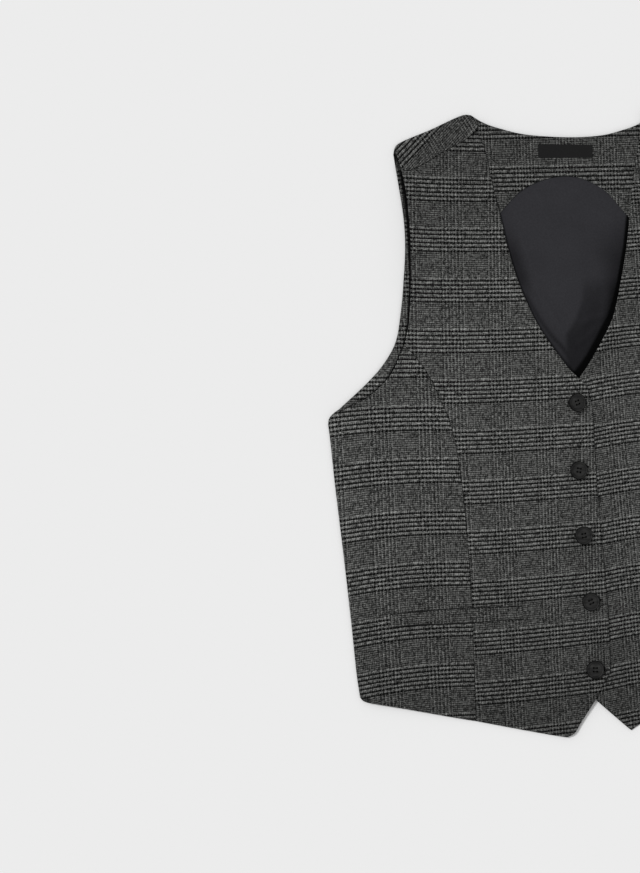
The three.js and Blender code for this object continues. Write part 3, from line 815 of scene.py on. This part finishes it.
def facing_outer(t):
    """Back neckline in the middle, then along inside each shoulder, then down the armhole."""
    s, side = np.abs(t - 0.5) * 2, np.where(t < 0.5, -1, 1)
    neck = line(BACK_NECKLINE)
    places = neck(0.5 + side * np.minimum(s / NECK_END, 1) * 0.44)
    for sign in (-1, 1):
        corner = neck(np.array(0.5 + sign * 0.44))
        start = (abs(corner[0]), MID_LENGTH - corner[1])
        shoulder = line([start, (96, 6.5), (144, 25), (154.3, 37)], sign)
        armhole = line([(154.3, 37), *BACK_ARMHOLE[1:]], sign)
        here = (side == sign) & (s > NECK_END)
        places[here] = shoulder((s[here] - NECK_END) / (TIP_END - NECK_END))
        here = (side == sign) & (s > TIP_END)
        places[here] = armhole((s[here] - TIP_END) / (1 - TIP_END))
    return places


def facing_arch(t):
    """The facing's lower edge, its shares spread to lie opposite those of the outer edge."""
    s = np.abs(t - 0.5) * 2
    by_tip = np.where(s < TIP_END, 0.235 + (s - NECK_END) * 0.98, 0.392 + (s - TIP_END) * 1.0134)
    held = np.where(s < NECK_END, s * 0.98, by_tip)
    return line(FACING_ARCH)(0.5 + np.sign(t - 0.5) * held * 0.5)


def armhole_painted_shade(x, down):
    """Painted shadow on cloth beside the front's armhole, up to 1: full along its edge, fading at half the width again
    beyond.
    """
    edge = line([*FRONT_ARMHOLE_LOWER[2:-1], *FRONT_ARMHOLE_UPPER, *STRIP_TIP[1:]])(np.linspace(0, 1, 240))
    away = np.hypot(np.abs(x)[..., None] - edge[:, 0], MID_LENGTH - down[..., None] - edge[:, 1]).min(-1)
    width = np.interp(down, *zip(*ARMHOLE_SHADE_WIDTH))
    deep = ease(1.45 * width, 0.75 * width, away)
    return np.maximum(deep, 0.4 * ease(62, 40, down)) * ease(100, 130, np.abs(x))


def make_facing():
    """Ruled surface from the arch to the outer edge."""
    us = stations(620, 3.4, (0.3, 0.38, 0.5, 0.62, 0.7))
    vs = stations(42, 1.3)[:, None, None]
    plan = facing_arch(us)[None] * (1 - vs) + facing_outer(us)[None] * vs
    x, down = split(plan)
    # Painted shadow beside the front's armhole edge
    shade_paint = armhole_painted_shade(x, down)
    under = LINING_Z + 0.55 + ripple(x, down, 0.12)
    made = cloth("back_facing_cloth", plan, under, 0.8, wool, repeats("facing", x, down), (1.3, 1.3, 0.5, 1.3), shade_paint)
    return sewn(made, "back_facing", plan, FACING_CUT)


def lining_rise(x, down):
    """Folds in the open V, fading out under the fronts and the facing."""
    reach = ease(58, 84, down) * ease(262, 240, down)
    half = np.interp(down, [50, 100, 150, 200, 245], [74, 64, 52, 32, 8])
    return creases(LINING_FOLDS, x, down) * reach * ease(1.25, 0.8, np.abs(x) / half)


def lining_painted_shade(x, down):
    """Painted shade on the lining, up to 1: the deepest of five.

    Full under the left neckline and in the foot of the V; a soft shade beside each neckline; the shade of a dropped
    fold, stepping down over six millimetres; and a bell of shade along the crease by the right neckline.
    """
    from_edge = {}
    for name in ("left", "right"):
        out, at = zip(*NECKLINE[name][::-1])
        from_edge[name] = np.interp(down, at, out) - SIGN[name] * x
    width, reach, painted_shading, side, fall_shade, crease, dark, shade = (
        np.interp(down, *zip(*rows))
        for rows in (
            LEFT_SHADE_WIDTH, LEFT_REACH, LEFT_SOFT_SHADE, FALL_SIDE, FALL_SHADE, RIGHT_CREASE, RIGHT_CREASE_SHADE, RIGHT_SHADE
        )
    )
    deep = ease(1.5 * width, 0.65 * width, from_edge["left"])
    fold_shade = ease(-3, 3, x - side) * fall_shade + painted_shading * ease(reach, 1, from_edge["left"])
    crease_shade = dark * bell(from_edge["right"] - crease, 2.3)
    beside = shade * ease(16, 3, from_edge["right"])
    return np.clip(np.maximum.reduce([deep, fold_shade, crease_shade, beside, ease(231.5, 237, down)]), 0, 1)


def make_lining():
    """Ruled surface from a level foot to the arch, lapped a little under the facing."""
    us = stations(442, 3.4, (0.34, 0.66))
    us = np.concatenate([us[us < 0.34], np.linspace(0.34, 0.66, 140), us[us > 0.66]])
    vs = stations(330, 1.95)[:, None, None]
    arch = facing_arch(us)
    half, foot = LINING_HEM
    bottom = np.stack([arch[:, 0] / 221 * half, np.full(len(us), MID_LENGTH - foot)], -1)
    plan = bottom[None] * (1 - vs) + arch[None] * vs
    way = arch - bottom
    plan[...] += vs * 2.0 * (way / np.linalg.norm(way, axis=-1, keepdims=True))[None]
    x, down = split(plan)
    under = 1.32 + np.clip(lining_rise(x, down), 0, 6)
    # Painted shade darkens the lining in the V
    made = cloth("back_lining_cloth", plan, under, 0.5, satin, None, (0.6,) * 4, lining_painted_shade(x, down))
    return sewn(made, "back_lining", plan, LINING_CUT)


def make_label():
    """A flat ribbon, turned to the neck, its long edges pressed down."""
    us, vs = stations(LABEL["width"], 1.2), stations(LABEL["height"], 0.8)
    u, v = np.meshgrid((us - 0.5) * LABEL["width"], (vs - 0.5) * LABEL["height"])
    turn = math.radians(LABEL["turn"])
    x = u * math.cos(turn) - v * math.sin(turn) + LABEL["across"]
    y = u * math.sin(turn) + v * math.cos(turn) + MID_LENGTH - LABEL["down"]
    plan = np.dstack([x, y])
    under = 3.05 + 0.25 * np.cos(v / LABEL["height"] * math.pi) + 0.12 * np.sin(u / 5.0)
    made = cloth("neck_label_ribbon", plan, under, 0.45, ribbon, None, (0.4,) * 4)
    return sewn(made, "neck_label", plan)


# --- fronts, shoulders, welts


def front_rise(x, down):
    """Height that both fronts share over their flat lay: fullness, creases and a fine ripple."""
    return fullness(x, down) + creases(CREASES, x, down) + ripple(x, down, 0.22)


def foot_drop(down):
    """How far the fronts sink to the floor below the back's hem."""
    return (FRONT_Z - 0.5) * ease(524, 556, down)


def lap(x, down):
    """Lift of the right front where the left lies under it."""
    return (OVER_Z - FRONT_Z) * ease(-42, -17, x) * ease(194, 230, down)


# Roll of each neckline's edge off the lining: (down, rise)
ROLL = dict(
    right=[(11, 0.0), (60, 0.1), (120, 0.3), (180, 0.8), (235, 0.5)],
    left=[(11, 0.4), (50, 1.4), (110, 3.2), (165, 6.0), (205, 7.5), (236, 6.5)],
)


def princess(name):
    """Princess seam, its foot on the hem of its own front."""
    return line([FRONT_HEM[name][0], *PRINCESS_SEAM[1:]], SIGN[name])


def make_side(name):
    """Coons patch of hem, armhole, side seam and princess seam, let down to the back along its side seam."""
    side = SIGN[name]
    us, vs = stations(112, STEP), stations(345, STEP)
    hem = line([*SIDE_HEM, FRONT_HEM[name][0]], side)
    plan = patch(hem, line(FRONT_ARMHOLE_LOWER, side), line(SIDE_SEAM, side), princess(name), us, vs)
    plan = seamed(plan, 1)
    x, down = split(plan)
    west, east, south, north = from_edges(plan)
    held = ease(0, 34, west)
    under = 1.15 + (FRONT_Z - 1.15) * ease(0, 16, west) + front_rise(x, down) * held
    under += 1.3 * bell(north, 9) * held - 0.45 * bell(east, 3)
    under = np.maximum(under - foot_drop(down) * ease(0, 16, west), 0.3)
    made = cloth(
        f"{name}_side_front_cloth", plan, under, 1.0 + (FRONT_WALL - 1.0) * ease(0, 14, west), wool,
        repeats(f"{name}_side", x, down), (1.6, 0.7, EDGE_TURN, EDGE_TURN),
    )
    return sewn(made, f"{name}_side_front", plan)


def front_under(name, plan, vs):
    """Underside of a centre front: the shared rise, its lap, a roll along the V and the armhole, dips at seams."""
    x, down = split(plan)
    west, east, south, north = from_edges(plan)
    v = np.broadcast_to(vs[:, None], x.shape)
    above = np.clip((v - V_POINT) / (1 - V_POINT), 0, 1)
    at_arm = np.clip((v - PRINCESS_TOP) / (1 - PRINCESS_TOP), 0, 1)
    under = FRONT_Z + front_rise(x, down)
    if name == "right":
        under = under + lap(x, down)
    roll = np.interp(down, *zip(*ROLL[name])) * ease(0, 0.1, above)
    under = under + roll * bell(east, 15)
    lift = np.interp(at_arm, [0, 0.15, 0.5, 0.85, 1], [1.6, 2.2, 4.2, 4.4, 1.5])
    lift = lift * ease(-0.03, 0.05, v - PRINCESS_TOP)
    under = under + lift * bell(west, 10)
    under = under - 0.45 * bell(west, 3) * ease(PRINCESS_TOP + 0.01, PRINCESS_TOP - 0.01, v)
    under = under - 0.5 * bell(north, 3)
    return np.maximum(under - foot_drop(down), 0.3)


def make_centre(name):
    """Coons patch of hem, shoulder seam, princess seam with armhole, and cutaway with front edge and neckline."""
    side = SIGN[name]
    us = stations(118, STEP)
    vs = stations(560, STEP, (CUTAWAY_TOP, V_POINT, PRINCESS_TOP))
    west = chain((PRINCESS_TOP, princess(name)), (1.0, line(FRONT_ARMHOLE_UPPER, side)))
    east = chain(
        (CUTAWAY_TOP, line(CUTAWAY[name], side)),
        (V_POINT, line(FRONT_EDGE[name], side)),
        (1.0, line(NECKLINE[name], side)),
    )
    plan = patch(line(FRONT_HEM[name], side), line(SHOULDER_SEAM, side), west, east, us, vs)
    plan = seamed(seamed(plan, 0), 3)
    x, down = split(plan)
    made = cloth(
        f"{name}_centre_front_cloth", plan, front_under(name, plan, vs), FRONT_WALL, wool,
        repeats(f"{name}_centre", x, down), (0.7, EDGE_TURN, EDGE_TURN, 0.7),
    )
    return sewn(made, f"{name}_centre_front", plan)


def make_strip(name):
    """Coons patch between shoulder seam and fold; cut on the slant."""
    side = SIGN[name]
    us, vs = stations(80, STEP), stations(18, 1.6)
    plan = patch(
        line(SHOULDER_SEAM, side), line(SHOULDER_FOLD, side), line(STRIP_TIP, side), line(STRIP_NECK, side), us, vs
    )
    plan = seamed(plan, 2)
    x, down = split(plan)
    west, east, south, north = from_edges(plan)
    under = 1.3 + (FRONT_Z + 0.4 - 1.3) * ease(0, 9, north) + front_rise(x, down) * ease(0, 9, north)
    under = under - 0.5 * bell(south, 3)
    made = cloth(
        f"{name}_shoulder_strip_cloth", plan, under, 1.2 + 0.7 * ease(0, 8, north), wool,
        repeats(f"{name}_strip", x, down), (1.3, 1.3, 0.7, 2.4),
    )
    return sewn(made, f"{name}_shoulder_strip", plan)


def make_welt(name):
    """Ruled strip between its two edges, lying on the fronts and thinning to its lower edge."""
    side = SIGN[name]
    us, vs = stations(122, STEP), stations(12.5, 1.2)[:, None, None]
    upper = line([(out, down) for out, down, deep in WELT], side)
    lower = line([(out, down + deep) for out, down, deep in WELT], side)
    plan = lower(us)[None] * (1 - vs) + upper(us)[None] * vs
    x, down = split(plan)
    out = np.abs(x)
    seam = np.interp(down, [430, 490], [107.3, 108.3])
    dip = 0.45 * bell(out - seam, 3)
    lay = FRONT_Z + front_rise(x, down) - dip + (lap(x, down) if name == "right" else 0)
    held = ease(0, 34, 219.5 - out)
    lay = lay * held + (LINING_Z + (FRONT_Z - LINING_Z) * ease(0, 16, 219.5 - out)) * (1 - held)
    under = lay + FRONT_WALL + 0.12 + 0.35 * dip
    made = cloth(
        f"{name}_pocket_welt_cloth", plan, under, WELT_WALL, wool,
        repeats(f"{name}_welt", x, down), (0.8, 0.8, 0.5, 0.9),
    )
    sewn(made, f"{name}_pocket_welt", plan)
    for edge, (row, away, sizes) in WELT_SEAMS.items():
        path = np.column_stack([plan[row] + (0, away), under[row] + 0.45])
        radius = np.interp(out[row], WELT_SEAM_OUT, sizes)[:, None, None]
        points, quads, ends = tube(path, radius, 6)
        sewn(piece(f"{name}_welt_{edge}_thread", points, [quads, ends], thread), None)


# --- buttons and buttonholes


def front_top(x, down):
    """Upper face of the right front near its edge."""
    x, down = np.asarray(x, float), np.asarray(down, float)
    return FRONT_Z + front_rise(x, down) + lap(x, down) - foot_drop(down) + FRONT_WALL


def turned(points, lean, turn):
    """Points turned about the upright by one angle, then leant about the length by the other, in degrees."""
    a, b = math.radians(turn), math.radians(lean)
    x = points[..., 0] * math.cos(a) - points[..., 1] * math.sin(a)
    y = points[..., 0] * math.sin(a) + points[..., 1] * math.cos(a)
    z = points[..., 2]
    return np.stack([x * math.cos(b) + z * math.sin(b), y, z * math.cos(b) - x * math.sin(b)], -1)


def make_button(number, across, down, lean, turn):
    """A profile turned about the upright: flat foot, round side, raised rim and a dished face.

    Four holes are pits in the face: at their deepest within the hole's radius, none beyond it. Painted shade
    darkens the side wall, a ring at the foot of the dish and the holes.
    Gives back the height that the button stands at.
    """
    r, h = BUTTON["radius"], BUTTON["height"]
    dish = r - BUTTON["rim"]
    profile = np.array([
        (r - 1.6, 0), (r - 0.9, 0.3), (r - 0.3, 0.9), (r, 1.7), (r - 0.08, 2.3), (r - 0.3, h - 0.28),
        (r - 0.65, h - 0.06), (r - 0.95, h), (r - 1.25, h - 0.06), (dish, h - 0.2),
        (dish - 0.5, h - BUTTON["dish"] + 0.06), (dish - 1.1, h - BUTTON["dish"]),
    ])
    face = np.linspace(dish - 1.6, 0.12, 34)
    profile = np.vstack([profile, np.stack([face, np.full(34, h - BUTTON["dish"])], -1)])
    angle = np.linspace(0, 2 * np.pi, 96, endpoint=False)
    x = profile[:, :1] * np.cos(angle)
    y = profile[:, :1] * np.sin(angle)
    z = np.broadcast_to(profile[:, 1:], x.shape).copy()
    half = BUTTON["pitch"] / 2
    off = np.hypot(np.abs(x) - half, np.abs(y) - half)
    pit = ease(BUTTON["hole"] + 0.14, BUTTON["hole"] - 0.1, off)
    z -= np.where(np.arange(len(profile))[:, None] > 11, pit * (h - 1.0), 0)
    rows, cols = x.shape
    points = np.vstack([np.stack([x, y, z], -1).reshape(-1, 3), [(0, 0, 0), (0, 0, h - BUTTON["dish"])]])
    points = turned(points, lean, turn)
    rest = front_top(across, down) + 0.55 + r * abs(math.sin(math.radians(lean)))
    points += (across, MID_LENGTH - down, rest)
    ids = np.arange(rows * cols).reshape(rows, cols)
    ids = np.hstack([ids, ids[:, :1]])
    foot = np.stack([np.full(cols, rows * cols), ids[0, 1:], ids[0, :-1]], -1)
    head = np.stack([np.full(cols, rows * cols + 1), ids[-1, :-1], ids[-1, 1:]], -1)
    # Painted shade by profile row: dark side wall, clear rim, a ring at the foot of the dish; then the holes
    by_row = np.interp(np.arange(rows), [5.5, 8, 9, 10, 12], [0.95, 0.1, 0, 0.5, 0])
    shade_paint = np.broadcast_to(by_row[:, None], x.shape)
    shade_paint = np.where(np.arange(rows)[:, None] > 11, ease(0, 0.5, pit), shade_paint)
    shade_paint = np.concatenate([shade_paint.ravel(), [1, 0]])
    made = piece(f"button_{number}_resin", points, [grid_faces(ids), foot, head], resin, None, shade_paint)
    sewn(made, f"button_{number}")
    return rest


def tube(path, radius, around=8):
    """Rings about a path: circles in the plane across its way, closed at both ends by a middle point."""
    way = np.gradient(path, axis=0)
    way /= np.linalg.norm(way, axis=1, keepdims=True)
    side = np.cross(way, np.where(np.abs(way[:, 2:]) > 0.9, [[1.0, 0, 0]], [[0, 0, 1.0]]))
    side /= np.linalg.norm(side, axis=1, keepdims=True)
    over = np.cross(side, way)
    angle = np.linspace(0, 2 * np.pi, around, endpoint=False)[None, :, None]
    rings = path[:, None] + radius * (np.cos(angle) * side[:, None] + np.sin(angle) * over[:, None])
    count = len(path)
    ids = np.arange(count * around).reshape(count, around)
    ids = np.hstack([ids, ids[:, :1]])
    sides = np.stack([ids[:-1, :-1], ids[1:, :-1], ids[1:, 1:], ids[:-1, 1:]], -1).reshape(-1, 4)
    ends = count * around
    first = np.stack([np.full(around, ends), ids[0, :-1], ids[0, 1:]], -1)
    last = np.stack([np.full(around, ends + 1), ids[-1, 1:], ids[-1, :-1]], -1)
    return np.vstack([rings.reshape(-1, 3), path[:1], path[-1:]]), sides, np.vstack([first, last])


def gathered(parts):
    """Several (points, quads, triangles) as one."""
    points, quads, triangles, count = [], [], [], 0
    for p, q, t in parts:
        points.append(p)
        quads.append(q + count)
        triangles.append(t + count)
        count += len(p)
    return np.vstack(points), [np.vstack(quads), np.vstack(triangles)]


def make_button_thread(number, across, down, lean, turn, rest):
    """Stitches from hole to hole, each half a wave over the face, and a shank below."""
    half, top = BUTTON["pitch"] / 2, BUTTON["height"] - BUTTON["dish"]
    t = np.linspace(0, 1, 14)
    parts = []
    for y in (-half - 0.22, -half + 0.22, half - 0.22, half + 0.22):
        x = half * (2 * t - 1) * 1.05
        z = top - 1.6 + 1.85 * np.sin(np.pi * t) ** 0.45
        parts.append(tube(np.stack([x, np.full(14, y), z], -1), 0.2, 6))
    for dx, dy in ((-0.4, 0.2), (0.4, -0.2), (0.1, 0.5)):
        z = np.linspace(-1.0, 0.6, 5)
        parts.append(tube(np.stack([dx + 0.2 * np.sin(z * 3), dy + 0.2 * np.cos(z * 3), z], -1), 0.34, 6))
    points, faces = gathered(parts)
    points = turned(points, lean, turn) + (across, MID_LENGTH - down, rest)
    return sewn(piece(f"button_{number}_thread", points, faces, thread), None)


def make_buttonhole(number, across, down, shift):
    """A worked slit: a flat ring of purl stitches, its height a row of half sines along its way."""
    t = np.linspace(0, 2 * np.pi, 280, endpoint=False)
    length, half = 15.5, 1.1
    x = across + shift[0] + (length / 2) * np.sign(np.cos(t)) * np.abs(np.cos(t)) ** 0.6
    y = half * np.sign(np.sin(t)) * np.abs(np.sin(t)) ** 0.5
    middle = np.stack([x, MID_LENGTH - down + shift[1] + y * 0.62, np.zeros_like(t)], -1)
    angle = np.linspace(0, 2 * np.pi, 10, endpoint=False)
    out = np.stack([np.gradient(middle[:, 1]), -np.gradient(middle[:, 0]), np.zeros_like(t)], -1)
    out /= np.maximum(np.linalg.norm(out, axis=1, keepdims=True), 1e-9)
    size = 0.62 + 0.1 * np.abs(np.sin(t * 70))
    ring = middle[:, None] + out[:, None] * (size[:, None] * np.cos(angle))[..., None]
    ring[..., 2] += size[:, None] * 0.55 * np.sin(angle)
    ring[..., 2] += front_top(ring[..., 0], MID_LENGTH - ring[..., 1]) + 0.2
    ids = np.arange(280 * 10).reshape(280, 10)
    ids = np.vstack([ids, ids[:1]])
    ids = np.hstack([ids, ids[:, :1]])
    faces = grid_faces(ids)[:, ::-1]
    return sewn(piece(f"buttonhole_{number}", ring.reshape(-1, 3), faces, thread), None)


make_back()
make_lining()
make_facing()
make_label()
for name in ("left", "right"):
    make_side(name)
    make_centre(name)
    make_strip(name)
    make_welt(name)
for number, (across, down) in enumerate(BUTTONS, 1):
    lean, turn = BUTTON_LEAN[number - 1], BUTTON_TURN[number - 1]
    rest = make_button(number, across, down, lean, turn)
    make_button_thread(number, across, down, lean, turn, rest)
    make_buttonhole(number, across, down, HOLE_SHIFT[number - 1])

# --- floor, light and camera

SUN_RISE, SUN_FROM, SUN_SIZE, SUN_SHARE = 57.0, 150.0, 14.0, 0.45
FLOOR_LEVEL = 0.8388
CAMERA_HEIGHT = 3.0
VIEW = dict(across=-237.9, down=282.3, turn=-3.33, length=803.2)

mesh = bpy.data.meshes.new("floor")
mesh.from_pydata([(-4, -4, 0), (4, -4, 0), (4, 4, 0), (-4, 4, 0)], [], [(0, 1, 2, 3)])
mesh.materials.append(floor_paint())
floor = bpy.data.objects.new("floor", mesh)
bpy.context.scene.collection.objects.link(floor)

lit = FLOOR_LEVEL / FLOOR_ALBEDO
sun = bpy.data.lights.new("studio_sun", "SUN")
sun.energy = lit * SUN_SHARE * math.pi / math.sin(math.radians(SUN_RISE))
sun.angle = math.radians(SUN_SIZE)
sun_at = bpy.data.objects.new("studio_sun", sun)
sun_at.rotation_euler = (0, math.radians(90 - SUN_RISE), math.radians(SUN_FROM))
bpy.context.scene.collection.objects.link(sun_at)

world = bpy.data.worlds.new("studio")
world.use_nodes = True
world.node_tree.nodes["Background"].inputs["Color"].default_value = (1, 1, 1, 1)
world.node_tree.nodes["Background"].inputs["Strength"].default_value = lit * (1 - SUN_SHARE)
bpy.context.scene.world = world

lens = bpy.data.cameras.new("camera")
lens.lens = lens.sensor_width * CAMERA_HEIGHT * 1000 / VIEW["length"]
camera = bpy.data.objects.new("camera", lens)
place = (np.array([VIEW["across"], MID_LENGTH - VIEW["down"]]) + plan_shift) / 1000
camera.location = (*place, CAMERA_HEIGHT)
camera.rotation_euler = (0, 0, math.radians(VIEW["turn"]))
bpy.context.scene.collection.objects.link(camera)
bpy.context.scene.camera = camera
bpy.context.scene.view_settings.view_transform = "Standard"
